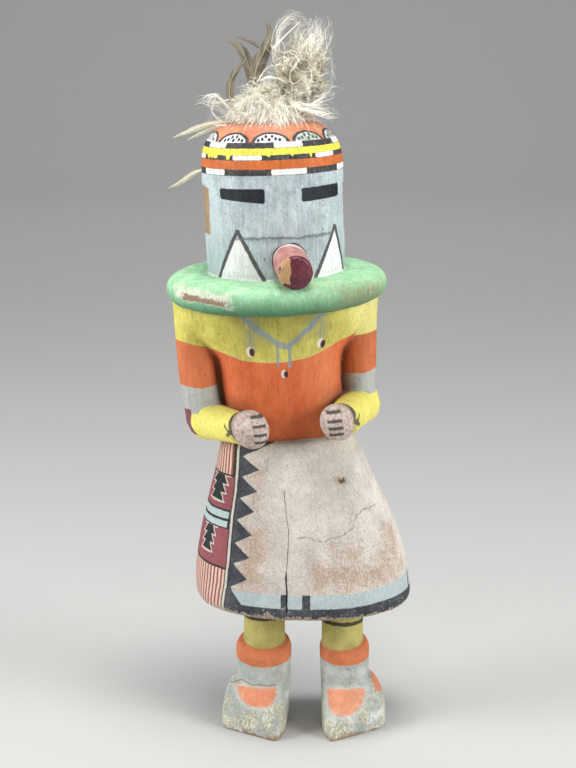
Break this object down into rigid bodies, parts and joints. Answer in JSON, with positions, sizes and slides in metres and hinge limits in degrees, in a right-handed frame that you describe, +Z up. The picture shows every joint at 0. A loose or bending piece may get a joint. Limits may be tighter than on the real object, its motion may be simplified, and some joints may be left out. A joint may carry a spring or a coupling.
{
  "type": "kachina doll",
  "caption": "Carved and painted cottonwood doll in a case mask with a peg snout, green ruff, painted kilt and boots, down and feathers on the crown.",
  "frame": {"origin": "on the surface that the boots stand on, under the middle of the whole doll's box", "axes": "+Z up, the doll faces -Y, +X to the right as it is looked at from the front"},
  "size_m": [0.1108, 0.0986, 0.3261],
  "materials": {
    "painted_cottonwood": "matt mineral paint over carved cottonwood, worn to the wood in places",
    "snout_paint": "thin dark red paint, worn pale on the sides",
    "down": "loose cream down with long curling barbs",
    "brown_feather": "soft grey-brown feather vanes with pale shafts",
    "pale_plume": "thin cream feather tips, frayed"
  },
  "bodies": {
    "root": {"figure": "painted_cottonwood", "snout": "snout_paint", "down_tuft": "down", "feather_low": "brown_feather", "feather_curl": "brown_feather", "feather_tall": "brown_feather", "feather_thin": "brown_feather", "plume_crown": "pale_plume", "plume_side": "pale_plume"}
  },
  "joints": []
}
